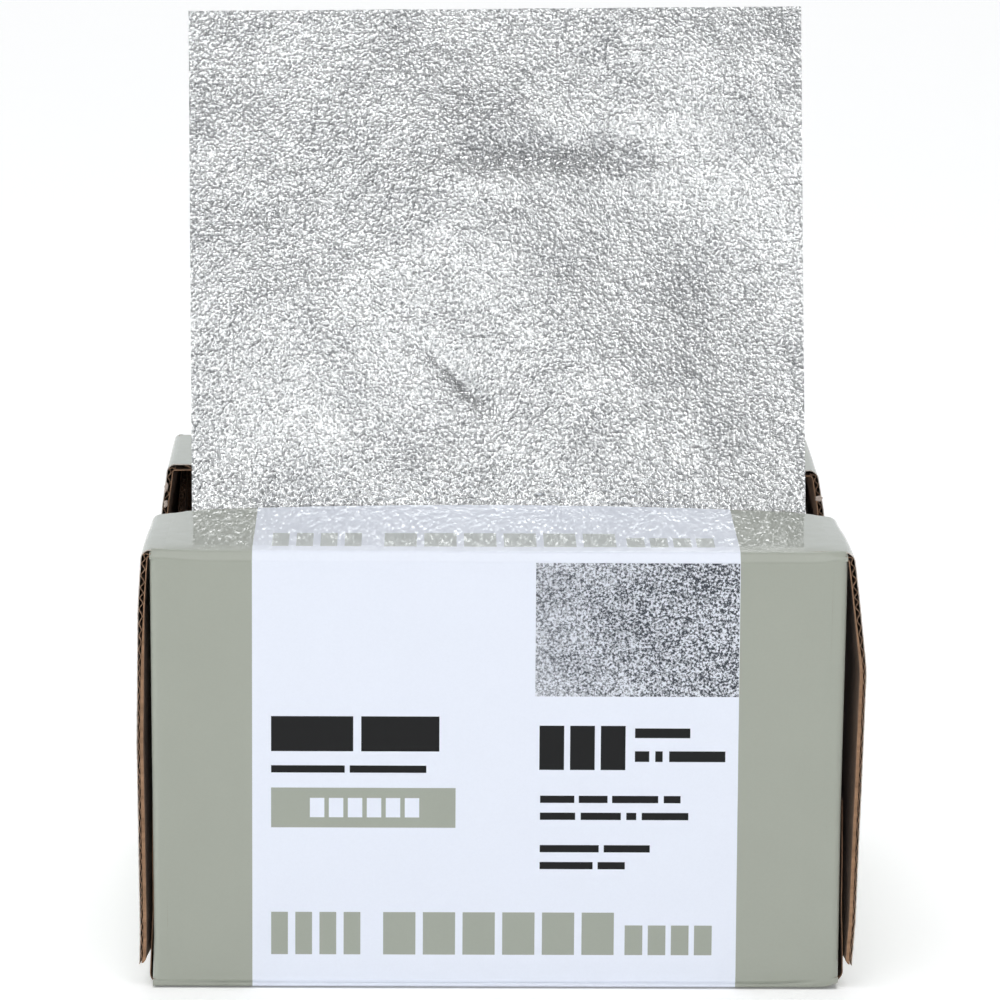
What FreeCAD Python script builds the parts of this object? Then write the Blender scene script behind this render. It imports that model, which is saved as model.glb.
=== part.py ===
"""Pop-up dispenser carton for pre-cut foil sheets.

A sealed-end corrugated carton lies on its bottom panel with its front facing -Y. The top
panel has a tear-out window that runs from end to end and down into both outer end flaps,
which leaves a lip in front and a strip behind. A stack of interfolded foil sheets fills
the carton, and the first sheet stands up through the window against the lip.

The origin is the middle of the base, +X is the carton's right and +Z is up. Millimetres.
"""

import FreeCAD, Part
import math
import os
import Sketcher

Vector = FreeCAD.Vector

# name, value, what it measures
DIMENSIONS = [
    ("box_width", 139.0, "front panel, corner to corner"),
    ("box_depth", 141.0, "front face to back face"),
    ("box_height", 90.0, "base to top"),
    ("board", 1.4, "thickness of the corrugated board"),
    ("crease_gap", 0.15, "between a flap's round hinge edge and the panel beside it"),
    ("layer_gap", 0.2, "between flaps that lie on each other"),
    ("corner_round", 1.2, "outer radius of the long creases"),
    ("top_half_width", 70.8, "middle to the outer flap's crease at the top"),
    ("lip_depth", 44.0, "front face to the window"),
    ("strip_start", 100.0, "front face to the rear strip"),
    ("bulge_half_width", 73.2, "middle to the outer flap where it stands out most"),
    ("bulge_height", 66.0, "base to that place"),
    ("foot_half_width", 72.75, "middle to the outer flap at its lower edge"),
    ("foot_height", 5.1, "base to the outer flap's lower edge"),
    ("flap_inset", 0.5, "outer flap's edge to the carton's front or back face"),
    ("notch_floor", 58.0, "base to the bottom of the window in an outer flap"),
    ("notch_round", 8.0, "radius of the window's lower corners"),
    ("inner_flap_height", 38.0, "base to the inner end flap's upper edge"),
    ("inner_flap_inset", 1.0, "inner end flap's edge to the front or back face"),
    ("dust_reach", 37.0, "dust flap, crease to free edge"),
    ("dust_low_crease", 3.2, "base to the dust flap's lower corner at the crease"),
    ("dust_low_free", 22.5, "base to its lower corner at the free edge"),
    ("dust_top_crease", 85.8, "base to its upper corner at the crease"),
    ("dust_top_free", 75.0, "base to its upper corner at the free edge"),
    ("tab_height", 26.0, "glue tab, crease to free edge"),
    ("tab_taper", 7.0, "how much each end of the glue tab slants in"),
    ("foil_width", 127.0, "foil sheet, across the carton"),
    ("foil_folded", 136.5, "foil sheet folded in half, front to back"),
    ("stack_height", 75.4, "stack of folded sheets"),
    ("stack_clearance", 0.15, "stack to the panels around it"),
    ("loose_foil", 0.3, "thickness of a loose sheet with its embossing"),
    ("next_short", 2.5, "how far the next sheet's free end stops short"),
    ("sheet_length", 115.6, "popped sheet, stack to its top edge"),
    ("sheet_shift", 0.67, "popped sheet's middle to the carton's, at the top panel"),
    ("sheet_lean", 11.1, "popped sheet leans back from upright, degrees"),
    ("sheet_turn", 0.66, "popped sheet turns in its own plane, degrees"),
    ("sheet_clearance", 0.3, "popped sheet to the lip"),
    ("sheet_above_top", 104.2, "popped sheet, top panel to its top edge"),
]

doc = FreeCAD.newDocument("foil_dispenser")
dims = doc.addObject("Spreadsheet::Sheet", "dims")
for row, (alias, value, meaning) in enumerate(DIMENSIONS, start=1):
    dims.set(f"A{row}", alias)
    dims.set(f"B{row}", str(value))
    dims.set(f"C{row}", meaning)
    dims.setAlias(f"B{row}", alias)
doc.recompute()

# Places that several pieces share, as expressions on the sheet.
HALF_BOARD = "dims.board / 2"
HALF_DEPTH = "dims.box_depth / 2"
UNDER_TOP = "dims.box_height - dims.board"
LIP_EDGE = "dims.lip_depth - dims.box_depth / 2"
STRIP_EDGE = "dims.strip_start - dims.box_depth / 2"
DUST_HINGE_X = "dims.box_width / 2 - dims.board / 2"
DUST_HINGE_Y = "dims.box_depth / 2 - dims.board / 2"
INNER_HINGE_X = "dims.box_width / 2 + dims.layer_gap + dims.board / 2"
OUTER_HINGE_X = "dims.top_half_width - dims.board / 2"
OUTER_HINGE_Z = "dims.box_height - dims.board / 2"
ROUND_CLEAR = "dims.board / 2 + dims.crease_gap"

SIDES = {"left": -1, "right": 1}
ENDS = {"front": -1, "rear": 1}
sub_parts = []


def new_body(name):
    """A body whose label is the sub-part's name."""
    body = doc.addObject("PartDesign::Body", name)
    body.Label = name
    sub_parts.append(body)
    return body


def value_of(expression):
    """An expression on the sheet as a number, for a sketch's first guess."""
    return float(dims.evalExpression(expression))


def new_sketch(body, name, plane, offset="0"):
    """A sketch on one of the body's own planes, moved along that plane's normal."""
    sketch = body.newObject("Sketcher::SketchObject", name)
    role = next(f for f in body.Origin.OriginFeatures if f.Role == plane)
    sketch.AttachmentSupport = (role, [""])
    sketch.MapMode = "FlatFace"
    sketch.setExpression("AttachmentOffset.Base.z", offset)
    return sketch


def place_point(sketch, geometry, end, point, tag):
    """Ties one end of an edge to its place on the sheet."""
    for kind, axis, expression in zip(("DistanceX", "DistanceY"), "xy", point):
        constraint = Sketcher.Constraint(kind, -1, 1, geometry, end, value_of(expression))
        index = sketch.addConstraint(constraint)
        sketch.renameConstraint(index, f"{tag}_{axis}")
        sketch.setExpression(f"Constraints.{tag}_{axis}", expression)


def draw_outline(sketch, points, round_edge=None):
    """A closed outline through points given as pairs of expressions.

    The edge that starts at point number round_edge joins two points of one height by a
    half circle that bulges away from the outline, and every other edge is straight.
    """
    corners = [Vector(value_of(a), value_of(b), 0) for a, b in points]
    count = len(points)
    starts = {}
    for i, corner in enumerate(corners):
        following = corners[(i + 1) % count]
        if i == round_edge:
            middle = (corner + following) / 2
            spoke = following - middle
            crown = middle + Vector(spoke.y, -spoke.x, 0)
            arc = Part.Arc(corner, crown, following)
            sketch.addGeometry(arc, False)
            clockwise = sketch.Geometry[i].StartPoint.distanceToPoint(corner) > 1e-6
            starts[i] = 2 if clockwise else 1
        else:
            sketch.addGeometry(Part.LineSegment(corner, following), False)
            starts[i] = 1
    for i in range(count):
        following = (i + 1) % count
        meet = Sketcher.Constraint("Coincident", i, 3 - starts[i], following, starts[following])
        sketch.addConstraint(meet)
    for i, point in enumerate(points):
        place_point(sketch, i, starts[i], point, f"p{i}")
    if round_edge is not None:
        level = points[round_edge][1]
        centre = Sketcher.Constraint("DistanceY", -1, 1, round_edge, 3, value_of(level))
        sketch.renameConstraint(sketch.addConstraint(centre), "round_level")
        sketch.setExpression("Constraints.round_level", level)


def draw_circle(sketch, centre, radius):
    """A circle whose centre and radius are expressions."""
    middle = Vector(*(value_of(a) for a in centre), 0)
    sketch.addGeometry(Part.Circle(middle, Vector(0, 0, 1), value_of(radius)), False)
    place_point(sketch, 0, 3, centre, "centre")
    size = sketch.addConstraint(Sketcher.Constraint("Radius", 0, value_of(radius)))
    sketch.renameConstraint(size, "radius")
    sketch.setExpression("Constraints.radius", radius)


def pad(body, sketch, length, reverse=False):
    """Pads a sketch by a length on the sheet."""
    feature = body.newObject("PartDesign::Pad", f"{sketch.Name}_pad")
    feature.Profile = sketch
    feature.Reversed = reverse
    feature.setExpression("Length", length)
    doc.recompute()
    return feature


def round_edges(body, feature, radius, *near):
    """Rounds the edges of a feature whose middle is closest to each point in near."""
    edges = feature.Shape.Edges
    names = []
    for point in near:
        target = Vector(*(value_of(a) for a in point))
        gaps = [edge.CenterOfMass.distanceToPoint(target) for edge in edges]
        names.append(f"Edge{gaps.index(min(gaps)) + 1}")
    fillet = body.newObject("PartDesign::Fillet", f"{body.Name}_round")
    fillet.Base = (feature, names)
    fillet.setExpression("Radius", radius)
    doc.recompute()
    return fillet


def rectangle(left, bottom, right, top):
    """The four corners of a rectangle, anticlockwise."""
    return [(left, bottom), (right, bottom), (right, top), (left, top)]


def both_ways(x):
    """The expressions for minus x and plus x."""
    return f"-({x})", f"{x}"


def make_walls():
    """Front and back panels, which stand on the bottom panel and carry the top."""
    low, high = both_ways(f"{DUST_HINGE_X} - ({ROUND_CLEAR})")
    for name, end in (("front_panel", -1), ("back_panel", 1)):
        body = new_body(name)
        sketch = new_sketch(body, f"{name}_outline", "XZ_Plane", f"{-end} * {HALF_DEPTH}")
        draw_outline(sketch, rectangle(low, "dims.board", high, UNDER_TOP))
        pad(body, sketch, "dims.board", reverse=end < 0)


def make_bottom_panel():
    """The base, with its front and back creases rounded."""
    body = new_body("bottom_panel")
    sketch = new_sketch(body, "bottom_outline", "XY_Plane")
    left, right = both_ways(f"{INNER_HINGE_X} - ({ROUND_CLEAR})")
    draw_outline(sketch, rectangle(left, f"-{HALF_DEPTH}", right, HALF_DEPTH))
    slab = pad(body, sketch, "dims.board")
    creases = [("0", f"{end} * {HALF_DEPTH}", "0") for end in ENDS.values()]
    round_edges(body, slab, "dims.corner_round", *creases)


def make_top():
    """The lip in front of the window and the strip behind it."""
    left, right = both_ways(f"{OUTER_HINGE_X} - ({ROUND_CLEAR})")
    spans = {
        "top_front_lip": (f"-{HALF_DEPTH}", LIP_EDGE, f"-{HALF_DEPTH}"),
        "top_rear_strip": (STRIP_EDGE, HALF_DEPTH, HALF_DEPTH),
    }
    for name, (near, far, crease) in spans.items():
        body = new_body(name)
        sketch = new_sketch(body, f"{name}_outline", "XY_Plane", UNDER_TOP)
        draw_outline(sketch, rectangle(left, near, right, far))
        slab = pad(body, sketch, "dims.board")
        round_edges(body, slab, "dims.corner_round", ("0", crease, "dims.box_height"))


def make_glue_tab():
    """The tab that hangs from the rear strip and is glued inside the back panel."""
    body = new_body("glue_tab")
    behind = f"dims.board - {HALF_DEPTH}"
    sketch = new_sketch(body, "tab_outline", "XZ_Plane", behind)
    low, high = both_ways(f"{DUST_HINGE_X} - ({ROUND_CLEAR})")
    foot = f"{UNDER_TOP} - dims.tab_height"
    outline = [
        (f"{low} + dims.tab_taper", foot),
        (f"{high} - dims.tab_taper", foot),
        (high, UNDER_TOP),
        (low, UNDER_TOP),
    ]
    draw_outline(sketch, outline)
    pad(body, sketch, "dims.board")


def make_dust_flaps():
    """Four flaps that turn in from the front and back panels at the ends.

    Each tapers towards its free edge, so that it can swing out past the end flaps, and
    its crease edge is a round post about the hinge.
    """
    hinge_x, hinge_y = DUST_HINGE_X, DUST_HINGE_Y
    for side_name, side in SIDES.items():
        for end_name, end in ENDS.items():
            name = f"{side_name}_{end_name}_dust_flap"
            body = new_body(name)
            offset = f"{side} * ({hinge_x}) - {HALF_BOARD}"
            sketch = new_sketch(body, f"{name}_outline", "YZ_Plane", offset)
            hinge = f"{end} * ({hinge_y})"
            free = f"{end} * ({hinge_y} - dims.dust_reach)"
            outline = [
                (hinge, "dims.dust_low_crease"),
                (free, "dims.dust_low_free"),
                (free, "dims.dust_top_free"),
                (hinge, "dims.dust_top_crease"),
            ]
            draw_outline(sketch, outline if end < 0 else outline[::-1])
            slab = pad(body, sketch, "dims.board")
            low = "dims.dust_low_crease"
            section = new_sketch(body, f"{name}_post_section", "XY_Plane", low)
            draw_circle(section, (f"{side} * ({hinge_x})", hinge), HALF_BOARD)
            post = pad(body, section, "dims.dust_top_crease - dims.dust_low_crease")
            if post.Shape.Volume <= slab.Shape.Volume:
                raise RuntimeError(f"{name} has no post at its crease")


def make_inner_end_flaps():
    """Flaps that turn up from the ends of the bottom panel."""
    length = "dims.box_depth - 2 * dims.inner_flap_inset"
    for side_name, side in SIDES.items():
        name = f"{side_name}_inner_end_flap"
        body = new_body(name)
        offset = f"-({HALF_DEPTH} - dims.inner_flap_inset)"
        sketch = new_sketch(body, f"{name}_section", "XZ_Plane", offset)
        near = f"{side} * ({INNER_HINGE_X}) - {HALF_BOARD}"
        far = f"{side} * ({INNER_HINGE_X}) + {HALF_BOARD}"
        outline = [
            (near, HALF_BOARD),
            (far, HALF_BOARD),
            (far, "dims.inner_flap_height"),
            (near, "dims.inner_flap_height"),
        ]
        draw_outline(sketch, outline, round_edge=0)
        pad(body, sketch, length)


def make_outer_end_flaps():
    """Flaps that hang from the ends of the top, with the window cut down into them.

    The section leans out from its round crease edge to where the flaps underneath push
    it furthest, and comes back in a little at its foot.
    """
    length = "dims.box_depth - 2 * dims.flap_inset"
    for side_name, side in SIDES.items():
        name = f"{side_name}_outer_end_flap"
        body = new_body(name)
        offset = f"-({HALF_DEPTH} - dims.flap_inset)"
        sketch = new_sketch(body, f"{name}_section", "XZ_Plane", offset)
        outer = [
            ("dims.top_half_width", OUTER_HINGE_Z),
            ("dims.bulge_half_width", "dims.bulge_height"),
            ("dims.foot_half_width", "dims.foot_height"),
        ]
        inner = [(f"{x} - dims.board", z) for x, z in reversed(outer)]
        outline = [(f"{side} * ({x})", z) for x, z in outer + inner]
        if side > 0:
            outline.reverse()
        draw_outline(sketch, outline, round_edge=len(outline) - 1)
        slab = pad(body, sketch, length)

        notch = new_sketch(body, f"{name}_window", "YZ_Plane")
        over = "dims.box_height + dims.board"
        draw_outline(notch, rectangle(LIP_EDGE, "dims.notch_floor", STRIP_EDGE, over))
        cut = body.newObject("PartDesign::Pocket", f"{name}_window_cut")
        cut.Profile = notch
        cut.Type = "ThroughAll"
        cut.Reversed = side > 0
        doc.recompute()
        if cut.Shape.Volume > 0.95 * slab.Shape.Volume:
            raise RuntimeError(f"{name} has no window")
        corners = [
            (f"{side} * (dims.bulge_half_width - dims.board / 2)", edge, "dims.notch_floor")
            for edge in (LIP_EDGE, STRIP_EDGE)
        ]
        round_edges(body, cut, "dims.notch_round", *corners)


def foil_box(name, width, length, height, corner):
    """A flat block of foil with its sizes and its low corner bound to the sheet."""
    block = doc.addObject("Part::Box", name)
    block.Label = name
    for size, expression in (("Length", width), ("Width", length), ("Height", height)):
        block.setExpression(size, expression)
    for axis, expression in zip("xyz", corner):
        block.setExpression(f"Placement.Base.{axis}", expression)
    sub_parts.append(block)
    return block


def make_foil():
    """The stack of interfolded sheets and the two sheets that lie loose on top of it."""
    left = "-dims.foil_width / 2"
    front = f"dims.board + dims.stack_clearance - {HALF_DEPTH}"
    floor = "dims.board + dims.stack_clearance"
    foil_box(
        "foil_stack",
        "dims.foil_width",
        "dims.foil_folded",
        "dims.stack_height",
        (left, front, floor),
    )
    level = f"{floor} + dims.stack_height"
    foil_box(
        "third_sheet",
        "dims.foil_width",
        "dims.foil_folded",
        "dims.loose_foil",
        (left, front, level),
    )
    foil_box(
        "next_sheet",
        "dims.foil_width",
        "dims.foil_folded - dims.next_short",
        "dims.loose_foil",
        (left, f"{front} + dims.next_short", f"{level} + dims.loose_foil"),
    )


def make_popped_sheet():
    """The sheet that stands in the window, resting its front face near the lip's edge.

    Its placement turns it in its own plane and leans it back about the lip's lower edge.
    """
    sheet = doc.addObject("Part::Box", "popped_sheet")
    sheet.Label = "popped_sheet"
    sheet.setExpression("Length", "dims.foil_width")
    sheet.setExpression("Width", "dims.loose_foil")
    sheet.setExpression("Height", "dims.sheet_length")
    lean = FreeCAD.Rotation(Vector(1, 0, 0), -dims.sheet_lean)
    turn = FreeCAD.Rotation(Vector(0, 1, 0), -dims.sheet_turn)
    spin = lean.multiply(turn)
    below = dims.sheet_length - dims.sheet_above_top
    drop = dims.board / math.cos(math.radians(dims.sheet_lean))
    anchor = Vector(
        dims.sheet_shift,
        value_of(LIP_EDGE) + dims.sheet_clearance,
        dims.box_height - dims.board,
    )
    corner = Vector(-dims.foil_width / 2, 0, drop - below)
    sheet.Placement = FreeCAD.Placement(anchor + spin.multVec(corner), spin)
    sub_parts.append(sheet)


def check_document():
    """Stops if any object failed or any sub-part has no sound solid."""
    doc.recompute()
    for item in doc.Objects:
        if {"Invalid", "Error"} & set(item.State):
            raise RuntimeError(f"{item.Label} failed: {item.State}")
    for part in sub_parts:
        if part.Shape.isNull() or not part.Shape.isValid() or not part.Shape.Solids:
            raise RuntimeError(f"{part.Label} has no valid solid")


make_walls()
make_bottom_panel()
make_top()
make_glue_tab()
make_dust_flaps()
make_inner_end_flaps()
make_outer_end_flaps()
make_foil()
make_popped_sheet()
check_document()

os.makedirs("parts", exist_ok=True)
for part in sub_parts:
    part.Shape.exportStep(f"parts/{part.Label}.step")
    box = part.Shape.BoundBox
    print(
        f"{part.Label:24s} {part.Shape.Volume:10.1f} mm3  x {box.XMin:7.2f} {box.XMax:7.2f}"
        f"  y {box.YMin:7.2f} {box.YMax:7.2f}  z {box.ZMin:7.2f} {box.ZMax:7.2f}"
    )
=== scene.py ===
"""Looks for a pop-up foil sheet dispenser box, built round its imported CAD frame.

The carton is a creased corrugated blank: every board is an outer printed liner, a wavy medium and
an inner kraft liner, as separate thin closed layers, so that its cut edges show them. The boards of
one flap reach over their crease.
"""

import math

import bmesh
import bpy
import numpy as np
from mathutils import Matrix, Vector


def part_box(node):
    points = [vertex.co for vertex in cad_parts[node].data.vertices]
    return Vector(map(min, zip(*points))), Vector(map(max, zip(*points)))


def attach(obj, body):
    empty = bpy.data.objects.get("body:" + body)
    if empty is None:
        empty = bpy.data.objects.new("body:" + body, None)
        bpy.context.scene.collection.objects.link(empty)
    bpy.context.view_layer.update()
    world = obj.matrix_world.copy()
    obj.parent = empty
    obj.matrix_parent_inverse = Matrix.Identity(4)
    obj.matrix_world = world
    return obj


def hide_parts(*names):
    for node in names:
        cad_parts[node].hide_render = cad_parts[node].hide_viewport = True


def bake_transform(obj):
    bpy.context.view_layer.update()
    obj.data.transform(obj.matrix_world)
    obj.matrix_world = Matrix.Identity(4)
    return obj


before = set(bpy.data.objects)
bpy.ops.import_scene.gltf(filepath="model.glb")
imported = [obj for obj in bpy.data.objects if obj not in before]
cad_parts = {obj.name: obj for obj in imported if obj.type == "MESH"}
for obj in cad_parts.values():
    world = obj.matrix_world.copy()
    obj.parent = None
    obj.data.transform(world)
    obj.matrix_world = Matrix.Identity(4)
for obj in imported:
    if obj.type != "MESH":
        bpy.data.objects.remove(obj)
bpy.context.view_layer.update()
MM = 0.001
rng = np.random.default_rng(20)  # torn edges and flakes draw from it in the order they are made

# -------------------- sizes of the board, mm
BOARD = 1.4
LINER = 0.2
MEDIUM = 0.17
PITCH = 2.5
WAVE_STEPS = 10
PRESSED_FROM = 0.74  # in a pressed board all beyond this depth is solid
PRESS_RUN = (13.0, 32.0)  # the pressing of an outer end flap grows over this distance
HEIGHT = 90.0
HALF_WIDTH = 69.5
HALF_DEPTH = 70.5
EAR = 69.35  # where the front and back walls end above and below their dust flaps
LAP = 66.5  # where the top and bottom pass to the boards of the end flaps
SLIT_LOW, SLIT_HIGH = 1.7, 88.3  # the dust flaps' creases run between these heights
FOLD = 1.5
BEVEL, BEVEL_EASE = 1.5, 0.9  # the top front crease is pressed flat between two eased edges
FOLD_REST = 0.6  # flat run kept beyond a fold before the next board takes over
LIP_EDGE, STRIP_EDGE = -26.5, 29.5
NOTCH_FLOOR, NOTCH_RADIUS = 58.0, 8.0
FLAP_END = 4.6
INNER_TOP, INNER_REACH, INNER_OPEN = 38.0, 68.3, 8.0  # its flutes stop short of its ends
TAB_FACE, TAB_END = 69.1, 62.6

# -------------------- node materials


class Shader:
    """A node material, built node by node on the pattern coordinates each mesh carries."""

    def __init__(self, name):
        self.material = bpy.data.materials.new(name)
        self.material.use_nodes = True
        self.tree = self.material.node_tree
        self.surface = self.tree.nodes["Principled BSDF"]
        self.place = self.add("ShaderNodeAttribute", "Vector", attribute_name="pattern")

    def add(self, kind, output=0, inputs=None, **settings):
        made = self.tree.nodes.new(kind)
        for key, value in settings.items():
            setattr(made, key, value)
        for key, value in (inputs or {}).items():
            self.put(made.inputs[key], value)
        return made.outputs[output]

    def put(self, socket, value):
        if isinstance(value, bpy.types.NodeSocket):
            self.tree.links.new(value, socket)
        else:
            socket.default_value = value

    def stretched(self, along, across, deep=1.0):
        ways = {0: self.place, 1: (along, across, deep)}
        return self.add("ShaderNodeVectorMath", inputs=ways, operation="MULTIPLY")

    def noise(self, scale, detail=3.0, where=None, rough=0.5):
        inputs = {"Vector": where or self.place, "Scale": scale, "Detail": detail}
        return self.add("ShaderNodeTexNoise", "Fac", {**inputs, "Roughness": rough})

    def span(self, value, low, high, to_low=0.0, to_high=1.0):
        ends = {0: value, 1: low, 2: high, 3: to_low, 4: to_high}
        return self.add("ShaderNodeMapRange", inputs=ends)

    def mix(self, share, first, second):
        return self.add("ShaderNodeMix", 2, {0: share, 6: first, 7: second}, data_type="RGBA")

    def maths(self, operation, first, second=0.0):
        return self.add("ShaderNodeMath", inputs={0: first, 1: second}, operation=operation)

    def bump(self, height, distance, strength=1.0, under=None):
        inputs = {"Strength": strength, "Distance": distance * MM, "Height": height}
        if under is not None:
            inputs["Normal"] = under
        return self.add("ShaderNodeBump", inputs=inputs)

    def finish(self, **sockets):
        for name, value in sockets.items():
            self.put(self.surface.inputs[name.replace("_", " ")], value)
        return self.material


def shade(color, factor):
    return tuple(min(1.0, c * factor) for c in color[:3]) + (1.0,)


# the sockets that a gloss varnish over ink sets
VARNISH = dict(Specular_IOR_Level=0.04, Coat_Weight=0.9, Coat_IOR=1.3, Coat_Roughness=0.03)
GLINT_CLOUDING = 0.10  # how far the foil's broad clouds shift its share of bright flats, a painted reflection
GLINT_SPAN = (0.235, 0.63)  # from dull pits to bright flats, in the foil's noise: painted reflection in the metal's colour
SWATCH_RUN = (10.0, 44.0)  # across the front, where the foil picture grows darker and harsher


def coated_print(name, color, mottle=0.035):
    """Ink under a gloss varnish on a smooth liner that shows its flutes very faintly."""
    s = Shader(name)
    cloud = s.noise(0.06, 2.0)
    grain = s.noise(2.2, 4.0)
    tone = s.mix(cloud, shade(color, 1 - mottle), shade(color, 1 + mottle))
    base = s.mix(s.span(grain, 0.35, 0.65, 0.0, 0.10), tone, shade(color, 0.86))
    washboard = s.noise(0.9, 2.0, s.stretched(1.0, 0.02))
    peel = s.bump(s.noise(0.7, 2.0), 0.004)
    relief = s.bump(washboard, 0.02, 1.0, peel)
    return s.finish(
        Base_Color=base,
        Roughness=s.span(s.noise(0.25, 3.0), 0.3, 0.7, 0.30, 0.40),
        Normal=relief,
        **VARNISH,
        Coat_Normal=relief,
    )


def swatch_print(name):
    """The printed patch that pictures crinkled foil: grey speckle with soft diagonal light."""
    s = Shader(name)
    speckle = s.noise(2.3, 2.0, rough=0.6)
    fine = s.noise(5.0, 2.0)
    grain = s.maths("ADD", s.maths("MULTIPLY", speckle, 0.75), s.maths("MULTIPLY", fine, 0.25))
    place_x = s.add("ShaderNodeSeparateXYZ", 0, {0: s.place})
    flecks = s.span(grain, 0.415, 0.585)
    turned = {"Vector": s.place, "Angle": math.radians(-38)}
    slant = s.add("ShaderNodeVectorRotate", inputs=turned, rotation_type="Z_AXIS")
    streak = s.noise(0.08, 2.0, slant)
    depth = s.span(place_x, *SWATCH_RUN, 0.80, 1.38)
    swing = s.maths("MULTIPLY", s.maths("SUBTRACT", flecks, 0.5), depth)
    level = s.span(place_x, *SWATCH_RUN, 0.54, 0.37)
    drift = s.maths("ADD", level, s.span(streak, 0.3, 0.7, -0.14, 0.14))
    light = s.maths("ADD", swing, drift)
    base = s.mix(light, (0.045, 0.052, 0.065, 1), (0.80, 0.83, 0.90, 1))
    return s.finish(
        Base_Color=base,
        Roughness=0.34,
        Normal=s.bump(s.noise(0.9, 2.0), 0.012),
        **VARNISH,
    )


def kraft(name, dark, light, fibre=1.0, roughness=0.86):
    """Unprinted kraft paper: long fibres, flecks and a cloudy shade."""
    s = Shader(name)
    fibres = s.noise(2.4, 5.0, s.stretched(0.35 * fibre, 1.6 * fibre, 1.6))
    clouds = s.noise(0.12, 3.0)
    flecks = s.span(s.noise(3.6, 2.0), 0.60, 0.72)
    tone = s.mix(s.span(fibres, 0.32, 0.68), dark, light)
    aged = s.mix(s.span(clouds, 0.3, 0.7, 0.0, 0.3), tone, shade(dark, 0.8))
    base = s.mix(s.maths("MULTIPLY", flecks, 0.35), aged, shade(light, 1.35))
    return s.finish(
        Base_Color=base,
        Roughness=s.span(fibres, 0.3, 0.7, roughness - 0.08, roughness + 0.06),
        Normal=s.bump(fibres, 0.05, 0.9),
        Sheen_Weight=0.08,
        Sheen_Roughness=0.6,
    )


def foil(name, bright, dull, rough, dimmed_patch=None):
    """Embossed aluminium: bright flats among dull pits, in clouds, painted as reflection into its
    colour, and a patch with fewer bright flats.
    """
    s = Shader(name)
    grain = s.noise(1.6, 1.6, rough=0.45)
    clouds = s.noise(0.06, 5.0, rough=0.68)
    share = s.maths("ADD", grain, s.span(clouds, 0.3, 0.7, -GLINT_CLOUDING, GLINT_CLOUDING))
    # a patch of dimmer painted reflection: in it fewer flats take the bright colour
    if dimmed_patch:
        (across, along), (wide, high), depth = dimmed_patch
        shift = (-across / wide, -along / high, 0)
        scaled = {0: s.place, 1: (1 / wide, 1 / high, 0), 2: shift}
        offset = s.add("ShaderNodeVectorMath", inputs=scaled, operation="MULTIPLY_ADD")
        reach = s.add("ShaderNodeVectorMath", "Value", {0: offset}, operation="LENGTH")
        wander = s.maths("ADD", reach, s.span(s.noise(0.16, 3.0), 0.3, 0.7, -0.45, 0.45))
        share = s.maths("SUBTRACT", share, s.span(wander, 1.2, 0.3, 0.0, depth))
    # painted reflection: the metal's colour runs from dull to bright with the noise, standing in for
    # flats that catch the light
    base = s.mix(s.span(share, *GLINT_SPAN), dull, bright)
    relief = s.bump(grain, 0.16, 1.0, s.bump(s.noise(0.9, 1.0), 0.14))
    return s.finish(
        Base_Color=base,
        Metallic=1.0,
        Roughness=s.span(grain, 0.3, 0.7, rough + 0.06, rough - 0.06),
        Normal=relief,
    )


GREEN = (0.385, 0.405, 0.350, 1)
WHITE = (0.835, 0.875, 0.975, 1)
SAGE = (0.375, 0.400, 0.345, 1)
BLACK = (0.004, 0.0045, 0.005, 1)
PALE_SAGE = (0.56, 0.59, 0.57, 1)

DIMMED_PATCH = ((8.0, 86.5), (26.0, 4.6), 0.115)  # the patch of fewer painted bright flats, over the high trough: middle, half sizes and depth

MATERIALS = {
    "green": coated_print("print_grey_green", GREEN),
    "white": coated_print("print_white", WHITE, 0.012),
    "sage": coated_print("print_sage", SAGE),
    "pale": coated_print("print_pale_sage", PALE_SAGE),
    "black": coated_print("print_black", BLACK),
    "swatch": swatch_print("print_foil_picture"),
    "rim": kraft("liner_cut_edge", (0.50, 0.43, 0.37, 1), (0.78, 0.71, 0.65, 1), 1.4),
    "pressed": kraft("pressed_cut_edge", (0.22, 0.12, 0.062, 1), (0.39, 0.225, 0.13, 1), 1.2),
    "kraft": kraft("kraft_inner_liner", (0.155, 0.080, 0.042, 1), (0.30, 0.168, 0.095, 1)),
    "medium": kraft("kraft_medium", (0.135, 0.072, 0.038, 1), (0.37, 0.225, 0.14, 1), 1.6),
    "torn": kraft("torn_liner_fibres", (0.40, 0.30, 0.24, 1), (0.78, 0.68, 0.61, 1), 2.0),
    # both foils' bright and dull metal colours are painted reflection
    "foil": foil("embossed_foil", (0.925, 0.935, 0.94, 1), (0.27, 0.28, 0.29, 1), 0.26, DIMMED_PATCH),
    "stack": foil("stacked_foil_edges", (0.84, 0.85, 0.87, 1), (0.55, 0.56, 0.58, 1), 0.30),
}

# -------------------- print, in mm on the blank
# Front and lip share one pattern: first number across from the middle, second up from the base,
# going on over the top fold. Words of the original are greeked as plain blocks.
BAND = (-49.2, 48.5)


def blocks(x_from, x_to, low, high, count, gap):
    """A greeked word: a row of equal blocks."""
    width = (x_to - x_from - gap * (count - 1)) / count
    starts = [x_from + i * (width + gap) for i in range(count)]
    return [(start, start + width, low, high) for start in starts]


def title(low, high):
    """The title line of the front and lip: three words, the last one lower."""
    small = low + (high - low) * 0.70
    return (
        blocks(-45.4, -27.4, low, high, 4, 1.5)
        + blocks(-22.8, 23.8, low, high, 6, 1.5)
        + blocks(26.0, 43.6, low, small, 4, 1.1)
    )


def line(words, low, high):
    return [(start, end, low, high) for start, end in words]


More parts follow.
